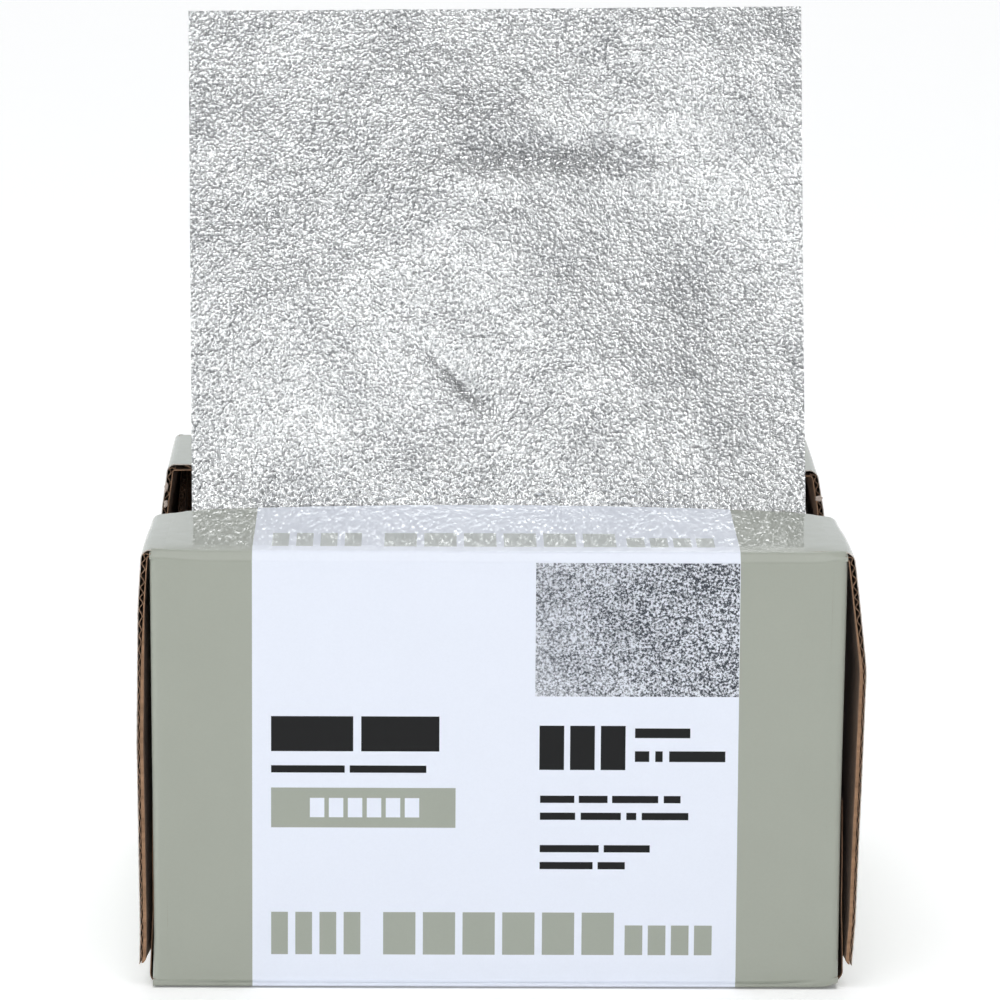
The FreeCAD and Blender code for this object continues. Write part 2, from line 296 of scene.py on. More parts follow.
INKS = (
    ("swatch", [(7.6, 48.4, 60.4, 88.4)]),
    (
        "black",
        blocks(8.5, 25.8, 45.3, 54.4, 3, 1.2)
        + line([(27.7, 38.8)], 51.9, 53.9)
        + line([(27.7, 30.6), (31.8, 33.3), (34.6, 45.9)], 47.0, 49.2)
        + line([(8.7, 15.6), (16.5, 22.3), (23.2, 32.5), (33.6, 37.0)], 38.5, 40.0)
        + line([(8.7, 15.8), (16.9, 25.0), (26.1, 28.1), (29.2, 38.6)], 35.0, 36.5)
        + line([(8.7, 20.6), (21.6, 30.9)], 28.3, 29.8)
        + line([(8.7, 19.4), (20.4, 25.9)], 24.8, 26.3)
        + line([(-45.4, -28.9), (-27.3, -11.6)], 49.0, 56.2)
        + line([(-45.4, -30.6), (-29.6, -14.2)], 44.6, 46.1),
    ),
    ("white", blocks(-37.6, -15.6, 35.4, 39.4, 6, 0.9)),
    ("sage", [(-45.4, -8.3, 33.3, 41.5)] + title(7.0, 15.8)),
    ("pale", title(94.0, 107.5)),
)


def band_only(across, up):
    """The pale middle band between the grey-green ends, with nothing printed on it."""
    return "white" if BAND[0] < across < BAND[1] else "green"


def ink_at(across, up):
    """The ink at a place on the front or lip."""
    for name, rectangles in INKS:
        for x_from, x_to, low, high in rectangles:
            if x_from < across < x_to and low < up < high:
                return name
    return band_only(across, up)


def green_only(across, up):
    return "green"


def ink_cuts(axis, low, high):
    """Where the print's edges cut the board, across (0) or up (1), in a range of heights."""
    found = set(BAND) if axis == 0 else set()
    for _, rectangles in INKS:
        for rectangle in rectangles:
            if low < rectangle[2] < high or low < rectangle[3] < high:
                found.update(rectangle[2 * axis : 2 * axis + 2])
    return found


# -------------------- shapes


class Profile:
    """A folded section: straight runs joined by arcs, read by the distance along it."""

    def __init__(self, corners, radii, outside=1.0):
        corners = [np.array(c, float) for c in corners]
        points, normals = [corners[0]], []

        def normal_of(direction):
            return outside * np.array((direction[1], -direction[0]))

        ways = [(b - a) / np.linalg.norm(b - a) for a, b in zip(corners, corners[1:])]
        normals.append(normal_of(ways[0]))
        for corner, before, after, radius in zip(corners[1:-1], ways, ways[1:], radii):
            cross = before[0] * after[1] - before[1] * after[0]
            turn = math.atan2(cross, float(before @ after))
            reach = radius * math.tan(abs(turn) / 2)
            start = corner - before * reach
            inward = np.array((-before[1], before[0])) * (1 if turn > 0 else -1)
            centre = start + inward * radius
            steps = max(2, math.ceil(abs(math.degrees(turn)) / 7.5))
            for i in range(steps + 1):
                angle = turn * i / steps
                c, s = math.cos(angle), math.sin(angle)
                arm = start - centre
                points.append(centre + np.array((arm[0] * c - arm[1] * s, arm[0] * s + arm[1] * c)))
                way = np.array((before[0] * c - before[1] * s, before[0] * s + before[1] * c))
                normals.append(normal_of(way))
        points.append(corners[-1])
        normals.append(normal_of(ways[-1]))
        self.points, self.normals = np.array(points), np.array(normals)
        steps = np.linalg.norm(np.diff(self.points, axis=0), axis=1)
        self.stations = np.concatenate(([0.0], np.cumsum(steps)))
        self.length = self.stations[-1]

    def at(self, s, depth):
        s = np.clip(s, 0.0, self.length)
        columns = [np.interp(s, self.stations, self.points[:, i]) for i in (0, 1)]
        normal = [np.interp(s, self.stations, self.normals[:, i]) for i in (0, 1)]
        size = np.hypot(*normal)
        return [c - depth * n / size for c, n in zip(columns, normal)]

    def station(self, axis, value, after=0.0):
        """The first distance past `after` where the section reaches a coordinate."""
        s = np.linspace(after, self.length, 4001)
        reached = self.at(s, 0.0)[axis]
        return float(s[int(np.argmin(np.abs(reached - value)))])


def smooth(value, low, high):
    t = np.clip((value - low) / (high - low), 0.0, 1.0)
    return t * t * (3 - 2 * t)


LIP_BOW, LIP_ZONE = 1.45, (80.0, 88.0)  # rise of the lip's free edge, and the heights it fades in
LIP_DROOP = 0.85  # drop of the lip's two ends
LIP_ROLL, ROLL_RUN = 0.75, 5.5  # drop of the top front crease, and how far back it reaches
STRIP_SAG = 0.8  # drop of the rear strip towards its right end
CRUSH_LIFT, CRUSH_IN = 0.85, 0.5  # the lower right front corner, pushed up and back
CRUSH_FROM, CRUSH_TO = 65.2, 69.35
LEAN_RIGHT, LEAN_LEFT = 0.0124, 0.0078  # how far the front corners lean out, per mm of height
TOP_ZONE = (60.0, 88.0)


def handled(points):
    """Wear of the whole carton: bowed lip, rolled crease, sagging strip, crushed corner, lean."""
    x, y, z = points[:, 0].copy(), points[:, 1].copy(), points[:, 2].copy()
    upper = smooth(z, *TOP_ZONE)
    run = np.clip((y + HALF_DEPTH - 2) / (LIP_EDGE + HALF_DEPTH - 2), 0, 1)
    lip = (y < 0) * np.clip(1 - (x / LAP) ** 2, 0, 1) * run**2
    z = z + LIP_BOW * lip * smooth(z, *LIP_ZONE)
    ends = smooth(np.abs(x), 60.0, 71.5) * smooth(y, -62.0, LIP_EDGE) * (y < 0)
    z = z - LIP_DROOP * ends * upper
    rolled = np.clip((-y - HALF_DEPTH + ROLL_RUN) / ROLL_RUN, 0, 1) ** 2
    z = z - LIP_ROLL * rolled * upper * (1 - smooth(np.abs(x), 62.5, 68.5))
    strip = (y > 0) * smooth(x, -30.0, 68.0) * (1 - smooth(y, STRIP_EDGE - 2, 68.0))
    z = z - STRIP_SAG * strip * upper
    corner = np.clip((x - CRUSH_FROM) / (CRUSH_TO - CRUSH_FROM), 0, 1) ** 2 * smooth(-y, 62.0, 70.0)
    near_floor = 1 - smooth(z, 0.5, 6.0)
    at_front = smooth(-y, 20.0, 55.0)
    lean_right = LEAN_RIGHT * np.clip(z - 36.0, 0, 50) * smooth(x, 50.0, 69.0)
    lean_left = LEAN_LEFT * np.clip(z - 47.0, -34, 50) * smooth(-x, 50.0, 69.0) * smooth(z, 1.0, 12.0)
    x = x + (lean_right - lean_left) * at_front
    z = z + CRUSH_LIFT * corner * near_floor
    y = y + CRUSH_IN * corner * near_floor
    return np.column_stack((x, y, z))


def make_object(name, points, faces, pattern, fills, body=None, angle=38.0):
    """A mesh object in metres with its pattern coordinates and one material name per face."""
    mesh = bpy.data.meshes.new(name)
    mesh.from_pydata((np.asarray(points, float) * MM).tolist(), [], faces)
    names = sorted(set(fills))
    for fill in names:
        mesh.materials.append(MATERIALS[fill])
    mesh.polygons.foreach_set("material_index", [names.index(f) for f in fills])
    attribute = mesh.attributes.new("pattern", "FLOAT_VECTOR", "POINT")
    attribute.data.foreach_set("vector", np.asarray(pattern, np.float32).ravel())
    mesh.update()
    bm = bmesh.new()
    bm.from_mesh(mesh)
    bmesh.ops.recalc_face_normals(bm, faces=bm.faces)
    bm.to_mesh(mesh)
    bm.free()
    mesh.shade_smooth()
    mesh.set_sharp_from_angle(angle=math.radians(angle))
    made = bpy.data.objects.new(name, mesh)
    bpy.context.scene.collection.objects.link(made)
    if body:
        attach(made, body)
    return made


class Build:
    """Collects the layers of one piece before they become a mesh."""

    def __init__(self):
        self.points, self.faces, self.pattern, self.fills = [], [], [], []

    def solid(self, flat, cells, rim, upper, lower, top_fill, low_fill, rim_fill, pattern):
        """Closes two matching skins over a flat pattern with a rim."""
        base, count = len(self.points), len(flat)
        self.points += list(upper) + list(lower)
        self.pattern += list(pattern) + list(pattern)
        for cell, fill in zip(cells, top_fill):
            self.faces.append([base + i for i in cell])
            self.fills.append(fill)
        for cell in cells:
            self.faces.append([base + count + i for i in reversed(cell)])
            self.fills.append(low_fill)
        for i, j in rim:
            self.faces.append([base + j, base + i, base + count + i, base + count + j])
            self.fills.append(rim_fill)

    def object(self, name, body=None, angle=38.0):
        return make_object(name, self.points, self.faces, self.pattern, self.fills, body, angle)


def flat_pattern(outline, cuts_u, cuts_v):
    """An outline filled and cut along lines: its points, cells and directed rim edges."""
    bm = bmesh.new()
    bm.faces.new([bm.verts.new((u, v, 0.0)) for u, v in outline])
    for axis, cuts in ((0, cuts_u), (1, cuts_v)):
        way = Vector((1.0 - axis, float(axis), 0.0))
        for cut in sorted(set(round(c, 3) for c in cuts)):
            geometry = bm.verts[:] + bm.edges[:] + bm.faces[:]
            bmesh.ops.bisect_plane(bm, geom=geometry, plane_co=way * cut, plane_no=way, dist=0.002)
    bm.verts.index_update()
    flat = np.array([v.co[:2] for v in bm.verts])
    cells = [[v.index for v in face.verts] for face in bm.faces]
    rim = []
    for edge in bm.edges:
        if len(edge.link_loops) == 1:
            loop = edge.link_loops[0]
            rim.append((loop.vert.index, loop.link_loop_next.vert.index))
    bm.free()
    return flat, cells, rim


def grid_cells(rows, columns):
    """Cells and rim of a plain grid whose points run along columns first."""
    cells = [
        [r * columns + c, r * columns + c + 1, (r + 1) * columns + c + 1, (r + 1) * columns + c]
        for r in range(rows - 1)
        for c in range(columns - 1)
    ]
    ring = [c for c in range(columns)]
    ring += [r * columns + columns - 1 for r in range(1, rows)]
    ring += [(rows - 1) * columns + c for c in range(columns - 2, -1, -1)]
    ring += [r * columns for r in range(rows - 2, 0, -1)]
    return cells, list(zip(ring, ring[1:] + ring[:1]))


def plain_pattern(u, v, depth):
    return np.column_stack((u, v, np.full_like(u, depth)))


class Sheet:
    """One board: where each pattern point lies in space, and what is printed on its outside."""

    def __init__(self, place, pattern_of, ink=green_only, phase=0.0, pressed=False, edge="rim"):
        self.place, self.pattern_of, self.ink, self.phase = place, pattern_of, ink, phase
        self.pressed, self.edge = pressed, edge
        self.build = Build()

    def inner_from(self, v):
        """The depth at which the inner liner begins; in a pressed board it takes in the flutes."""
        share = smooth(v, *PRESS_RUN) if self.pressed else 0.0
        return BOARD - LINER + (PRESSED_FROM - BOARD + LINER) * share

    def spots(self, flat, depth):
        return handled(self.place(flat[:, 0], flat[:, 1], depth))

    def liners(self, outline, cuts_u, cuts_v, inner_outline=None):
        for which, shape in (("outer", outline), ("inner", inner_outline or outline)):
            inked = which == "outer"
            flat, cells, rim = flat_pattern(
                shape, cuts_u if inked else coarse(cuts_u), cuts_v if inked else coarse(cuts_v)
            )
            near, far = (0.0, LINER) if inked else (self.inner_from(flat[:, 1]), BOARD)
            pattern = self.pattern_of(flat[:, 0], flat[:, 1], far)
            if inked:
                fills = [self.ink(*pattern[cell].mean(axis=0)[:2]) for cell in cells]
            else:
                fills = ["kraft"] * len(cells)
            rim_fill = self.edge if inked else "pressed" if self.pressed else "kraft"
            skins = self.spots(flat, near), self.spots(flat, far)
            self.build.solid(flat, cells, rim, *skins, fills, "kraft", rim_fill, pattern)

    def flutes(self, wave_from, wave_to, span_at, shares, along_u=True):
        """The wavy medium, closed, between wave_from and wave_to; span_at gives its width."""
        steps = max(2, round((wave_to - wave_from) / PITCH * WAVE_STEPS))
        waves = np.linspace(wave_from, wave_to, steps + 1)
        spans = np.array([span_at(w) for w in waves])
        shares = np.asarray(shares)
        cross = spans[:, :1] + (spans[:, 1:] - spans[:, :1]) * shares[None, :]
        wave = np.repeat(waves[:, None], len(shares), axis=1)
        u, v = (wave, cross) if along_u else (cross, wave)
        flat = np.column_stack((u.ravel(), v.ravel()))
        w = wave.ravel() + self.phase
        drift = 0.34 * np.sin(w * 0.31 + 7 * self.phase) + 0.2 * np.sin(w * 0.83 + 3 * self.phase)
        swing = np.sin((w + drift) * 2 * math.pi / PITCH)
        crush = 0.86 + 0.14 * np.sin(w * 0.57 + 5 * self.phase) * np.sin(w * 0.21)
        inner_from = self.inner_from(flat[:, 1])
        wave_height = (inner_from - LINER - MEDIUM) / 2 * crush
        middle = (LINER + inner_from) / 2 + wave_height * (0.85 * swing + 0.15 * swing**3)
        cells, rim = grid_cells(len(waves), len(shares))
        skins = self.spots(flat, middle - MEDIUM / 2), self.spots(flat, middle + MEDIUM / 2)
        fills = ["medium"] * len(cells)
        pattern = self.pattern_of(flat[:, 0], flat[:, 1], 1.0)
        self.build.solid(flat, cells, rim, *skins, fills, "medium", "medium", pattern)

    def flake(self, edge, toward, v, tall, depths, lift=0.35):
        """A scrap of torn liner lying over a window's cut edge, thin at its rim."""
        rows, columns = 6, 6
        along = np.linspace(-1.0, 1.0, rows)
        across = np.linspace(-1.0, 1.0, columns)
        r, c = np.meshgrid(along, across, indexing="ij")
        r, c = r.ravel(), c.ravel()
        wobble = rng.uniform(0.7, 1.15, r.size)
        middle, reach = sum(depths) / 2, (depths[1] - depths[0]) / 2
        deep = middle + reach * c * wobble * np.sqrt(1.1 - 0.5 * r * r)
        spots_v = v + tall / 2 * r * wobble * np.sqrt(1.1 - 0.6 * c * c)
        dome = np.clip(1 - 0.5 * (r * r + c * c), 0.0, 1.0) * rng.uniform(0.6, 1.2, r.size)
        skins = []
        for rise in (0.06 + lift * dome, 0.02 + 0.7 * lift * dome - 0.05):
            skins.append(handled(self.place(edge + toward * rise, spots_v, deep)))
        cells, rim = grid_cells(rows, columns)
        pattern = np.column_stack((r * 3 + v, c * 3 + edge, deep))
        fills = ["torn"] * len(cells)
        self.build.solid(r, cells, rim, *skins, fills, "torn", "torn", pattern)


def as_board(sheet, node, body=None):
    """Makes a finished board take the place of its CAD node."""
    made = sheet.build.object(f"{node}_board", body)
    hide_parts(node)
    return made


def coarse(cuts):
    """The same cuts without those that lie within 0.12 mm of the one before."""
    kept = []
    for cut in sorted(cuts):
        if not kept or cut - kept[-1] > 0.12:
            kept.append(cut)
    return kept


def spread(low, high, step):
    """Places about a step apart between two ends, without the ends."""
    return list(np.linspace(low, high, max(2, round((high - low) / step) + 1)))[1:-1]


def ragged(start, end, step=0.9, depth=0.22, nick_every=6.5):
    """Points from start to end along a torn line: small bites, and nicks where ties broke."""
    start, end = np.array(start, float), np.array(end, float)
    way = (end - start) / np.linalg.norm(end - start)
    side = np.array((-way[1], way[0]))
    count = int(np.linalg.norm(end - start) / step)
    made = []
    for i in range(1, count):
        along = (i + rng.uniform(-0.3, 0.3)) * step
        bite = rng.uniform(-0.4, 1.0) * depth
        if (along % nick_every) < step:
            bite -= rng.uniform(0.1, 0.45)
        made.append(tuple(start + way * along + side * bite))
    return made


# -------------------- the fixed walls and top

flat_start = -HALF_DEPTH + FOLD + FOLD_REST
FRONT = Profile(
    [(flat_start, HEIGHT), (BEVEL - HALF_DEPTH, HEIGHT), (-HALF_DEPTH, HEIGHT - BEVEL)]
    + [(-HALF_DEPTH, 0.0), (flat_start, 0.0)],
    [BEVEL_EASE, BEVEL_EASE, FOLD],
)
BACK = Profile([(-flat_start, 0.0), (HALF_DEPTH, 0.0), (HALF_DEPTH, HEIGHT - 1.0)], [FOLD])
STRIP = Profile([(STRIP_EDGE, HEIGHT), (TAB_FACE, HEIGHT), (TAB_FACE, TAB_END)], [FOLD], -1.0)
front_mid = FRONT.station(1, HEIGHT / 2)
BLANK_UP = HEIGHT / 2 + front_mid  # blank height plus distance along FRONT


# the front's scored foot: a groove just above the base and a soft bulge over it
GROOVE_UP, GROOVE_DEEP, GROOVE_WIDE = 1.25, 0.42, 0.30
BULGE_UP, BULGE_OUT, BULGE_WIDE = 3.7, 0.30, 1.8


def front_place(u, v, depth):
    y, z = FRONT.at(v, depth)
    groove_up = GROOVE_UP + 0.4 * smooth(u, 54.0, 68.0)
    bulge = BULGE_OUT * np.exp(-(((z - BULGE_UP) / BULGE_WIDE) ** 2))
    bulge = bulge - GROOVE_DEEP * np.exp(-(((z - groove_up) / GROOVE_WIDE) ** 2))
    inside = 1 - smooth(np.abs(u), LAP - 6.0, LAP)
    return np.column_stack((u, y - bulge * (y < -69) * inside, z))


def front_pattern(u, v, depth):
    return np.column_stack((u, BLANK_UP - v, np.full_like(u, depth)))


def wall_outline(low, slit_a, slit_b, high):
    """A wall that is wider above and below the creases of its dust flaps."""
    right = [(EAR, low), (EAR, slit_a), (LAP, slit_a), (LAP, slit_b), (EAR, slit_b), (EAR, high)]
    return right + [(-u, v) for u, v in reversed(right)]


front = Sheet(front_place, front_pattern, ink_at)
front_slits = FRONT.station(1, SLIT_HIGH, 3.0), FRONT.station(1, SLIT_LOW, 3.0)
front_rows = (
    list(FRONT.stations[1:-1])
    + [front_slits[1] + t for t in (-5.0, -4.0, -3.2, -2.6, -2.0, -1.6, -1.2)]
    + [front_slits[1] + t / 8 for t in range(-7, 5)]
    + [BLANK_UP - up for up in ink_cuts(1, 0.0, HEIGHT)]
)
front.liners(
    wall_outline(0.0, front_slits[0], front_slits[1], FRONT.length),
    list(ink_cuts(0, 0.0, HEIGHT)) + spread(-LAP, LAP, 8.0) + spread(52.0, EAR, 0.9),
    front_rows,
)
front_shares = np.array([0.0, *FRONT.stations[1:-1], FRONT.length]) / FRONT.length
front.flutes(-LAP, LAP, lambda w: (0.0, FRONT.length), front_shares)
as_board(front, "front_panel", "carton")


def back_place(u, v, depth):
    y, z = BACK.at(v, depth)
    return np.column_stack((u, y, z))


back = Sheet(back_place, plain_pattern, band_only)
back_slits = BACK.station(1, SLIT_LOW, 2.0), BACK.station(1, SLIT_HIGH, 2.0)
back.liners(
    wall_outline(0.0, back_slits[0], back_slits[1], BACK.length),
    list(BAND) + spread(-LAP, LAP, 8.0),
    list(BACK.stations[1:-1]) + spread(5.0, BACK.length, 9.0),
)
back_shares = np.array([0.0, *BACK.stations[1:-1], BACK.length]) / BACK.length
back.flutes(-LAP, LAP, lambda w: (0.0, BACK.length), back_shares)
as_board(back, "back_panel", "carton")


def bottom_place(u, v, depth):
    return np.column_stack((u, v, np.zeros_like(u) + depth))


bottom = Sheet(bottom_place, plain_pattern, band_only)
rest_y = -flat_start
bottom_outline = [(-LAP, -rest_y), (LAP, -rest_y), (LAP, rest_y), (-LAP, rest_y)]
bottom_columns = list(BAND) + spread(-LAP, LAP, 6.0)
bottom.liners(bottom_outline, bottom_columns, spread(-rest_y, rest_y, 8.0))
bottom.flutes(-LAP, LAP, lambda w: (-rest_y, rest_y), np.linspace(0, 1, 12))
as_board(bottom, "bottom_panel", "carton")


def lip_place(u, v, depth):
    return np.column_stack((u, v, np.full_like(u, HEIGHT) - depth))


def lip_pattern(u, v, depth):
    return np.column_stack((u, BLANK_UP + v - flat_start, np.full_like(u, depth)))


lip = Sheet(lip_place, lip_pattern, ink_at, 0.7)
lip_corners = [(-LAP, flat_start), (LAP, flat_start), (LAP, LIP_EDGE)]
lip_cuts = list(ink_cuts(0, HEIGHT, 200.0)) + spread(-LAP, LAP, 5.0)
lip_rows = [up - BLANK_UP + flat_start for up in ink_cuts(1, HEIGHT, 200.0)]
lip_rows += spread(flat_start, LIP_EDGE, 4.0)


def lip_outline():
    return lip_corners + ragged((LAP, LIP_EDGE), (-LAP, LIP_EDGE)) + [(-LAP, LIP_EDGE)]


lip.liners(lip_outline(), lip_cuts, lip_rows, lip_outline())
lip.flutes(-LAP, LAP, lambda w: (flat_start, LIP_EDGE - 0.2), np.linspace(0, 1, 12))
as_board(lip, "top_front_lip", "carton")


def strip_place(u, v, depth):
    y, z = STRIP.at(v, depth)
    return np.column_stack((u, y, z))


strip = Sheet(strip_place, plain_pattern, band_only, 0.3)
strip_turn = STRIP.stations[1] - 0.5  # just before the rear fold
strip_end = STRIP.station(1, 86.0, strip_turn)
strip_sides = [(LAP, strip_turn), (EAR, strip_turn), (EAR, strip_end)]
strip_shape = strip_sides + [(-u, v) for u, v in reversed(strip_sides)]


def strip_outline():
    torn = ragged((-LAP, 0.0), (LAP, 0.0), 0.8, -0.3)
    return strip_shape + [(-LAP, 0.0)] + torn + [(LAP, 0.0)]


strip.liners(
    strip_outline(),
    list(BAND) + spread(-LAP, LAP, 5.0),
    list(STRIP.stations[1:-1]) + spread(2.0, strip_turn, 6.0),
    strip_outline(),
)
strip_shares = np.array([0.1, 12.0, 24.0, *[s for s in STRIP.stations[1:-1] if s < strip_end]])
strip.flutes(-LAP, LAP, lambda w: (0.1, strip_shares[-1]), strip_shares / strip_shares[-1])
as_board(strip, "top_rear_strip", "carton")

tab = Sheet(strip_place, plain_pattern)
tab_foot = STRIP.length
tab_outline = [(-EAR + 1.2, strip_end), (EAR - 1.2, strip_end)]
tab_outline += [(EAR - 7.0, tab_foot), (-EAR + 7.0, tab_foot)]
tab.liners(tab_outline, spread(-LAP, LAP, 12.0), spread(strip_end, tab_foot, 8.0))
tab.flutes(-EAR + 7.5, EAR - 7.5, lambda w: (strip_end, tab_foot), np.linspace(0, 1, 5))
as_board(tab, "glue_tab", "carton")

# -------------------- the folding end flaps
# Each outer end flap: its bowed section from the flat top over the crease and down, the radii of
# its bends, how far its front edge flares out, and how far its rear is pinched and tucked in.
OUTER_SECTIONS = {
    "left": (
        [(LAP, HEIGHT), (71.05, HEIGHT), (71.9, 78.0), (72.45, 50.0), (72.2, FLAP_END)],
        [2.0, 60.0, 90.0],
        0.75,
        (0.70, 1.0),
    ),
    "right": (
        [(LAP, HEIGHT), (70.65, HEIGHT), (71.75, 82.0), (73.8, 66.0)]
        + [(73.45, 40.0), (72.8, 14.0), (72.15, FLAP_END)],
        [2.3, 30.0, 25.0, 60.0, 40.0],
        0.75,
        (0.35, 0.95),
    ),
}
SIDES = {"left": -1.0, "right": 1.0}
# scraps of torn liner on the window edges: edge, way out, height, size up, from and to in depth
FLAKES = {
    "left": [
        (STRIP_EDGE, -1.0, 84.9, 2.3, (-0.05, 0.75)),
        (STRIP_EDGE, -1.0, 81.3, 1.7, (0.3, 1.2)),
        (STRIP_EDGE, -1.0, 74.0, 1.6, (0.0, 0.9)),
        (LIP_EDGE, 1.0, 80.0, 1.9, (0.1, 1.1)),
        (LIP_EDGE, 1.0, 70.5, 1.3, (0.0, 0.8)),
    ],
    "right": [
        (STRIP_EDGE, -1.0, 83.9, 1.4, (-0.1, 1.45)),
        (STRIP_EDGE, -1.0, 77.0, 1.5, (0.2, 1.0)),
        (LIP_EDGE, 1.0, 82.0, 1.6, (0.0, 0.9)),
        (LIP_EDGE, 1.0, 72.0, 2.2, (0.2, 1.2)),
    ],
}
FLAP_FRONT, FLAP_LIMIT = -70.0, 70.0
INNER_OUT = {"left": 70.05, "right": 70.45}
INNER_SHOULDER, INNER_TAPER = 30.0, 3.0  # the inner flap narrows above its shoulder
# a dust flap's lower and upper edge at its crease, past the bend, and at its tip
DUST_LOWS, DUST_HIGHS = (SLIT_LOW, SLIT_LOW, 3.4, 22.5), (SLIT_HIGH, SLIT_HIGH, 85.7, 75.0)
FLARE_RUN = 14.0  # the flare grows over this much of the flap's front
END_CRUSH, END_RUN, END_CUT = 0.5, 1.2, 0.3  # the pressed lower end and its shorter inner liner
TUCK_LOW, TUCK_HIGH = (66.0, 77.5), (-88.0, -78.0)  # heights the tuck fades in and out over
CREASE_KEEP = 69.05  # out to here the flap's ends are cut back, clear of the walls
WINDOW_EASE = 0.15  # the flutes end this far inside the torn edge


def flap_shape(section, edge_front, edge_rear, torn, short=0.0):
    """Outline of a U-shaped outer end flap in (y, distance): two legs and the part below."""
    keep = section.station(0, CREASE_KEEP)
    floor = section.station(1, NOTCH_FLOOR, 10.0)
    end = section.length - short
    above = floor - NOTCH_RADIUS
    bend = [math.radians(90.0 * i / 8) for i in range(9)]
    arc = [(NOTCH_RADIUS * (1 - math.cos(t)), above + NOTCH_RADIUS * math.sin(t)) for t in bend]
    shape = [(FLAP_FRONT, end), (FLAP_FRONT, keep), (edge_front, keep), (edge_front, 0.0)]
    shape += [(LIP_EDGE, 0.0)]
    shape += ragged((LIP_EDGE, 0.0), (LIP_EDGE, above), 0.9, torn)
    shape += [(LIP_EDGE + a, s) for a, s in arc]
    shape += [(STRIP_EDGE - a, s) for a, s in reversed(arc)]
    shape += ragged((STRIP_EDGE, above), (STRIP_EDGE, 0.0), 0.9, torn)
    shape += [(STRIP_EDGE, 0.0), (edge_rear, 0.0), (edge_rear, keep), (FLAP_LIMIT - 1.6, keep)]
    return shape + [(FLAP_LIMIT, keep + 3.0), (FLAP_LIMIT, end)], keep, floor


def leg_inner_edge(floor, s):
    """How far a leg's window edge has moved into the notch at a distance s."""
    rise = np.clip((s - (floor - NOTCH_RADIUS)) / NOTCH_RADIUS, 0.0, 1.0)
    return NOTCH_RADIUS * (1 - math.sqrt(1 - rise * rise))


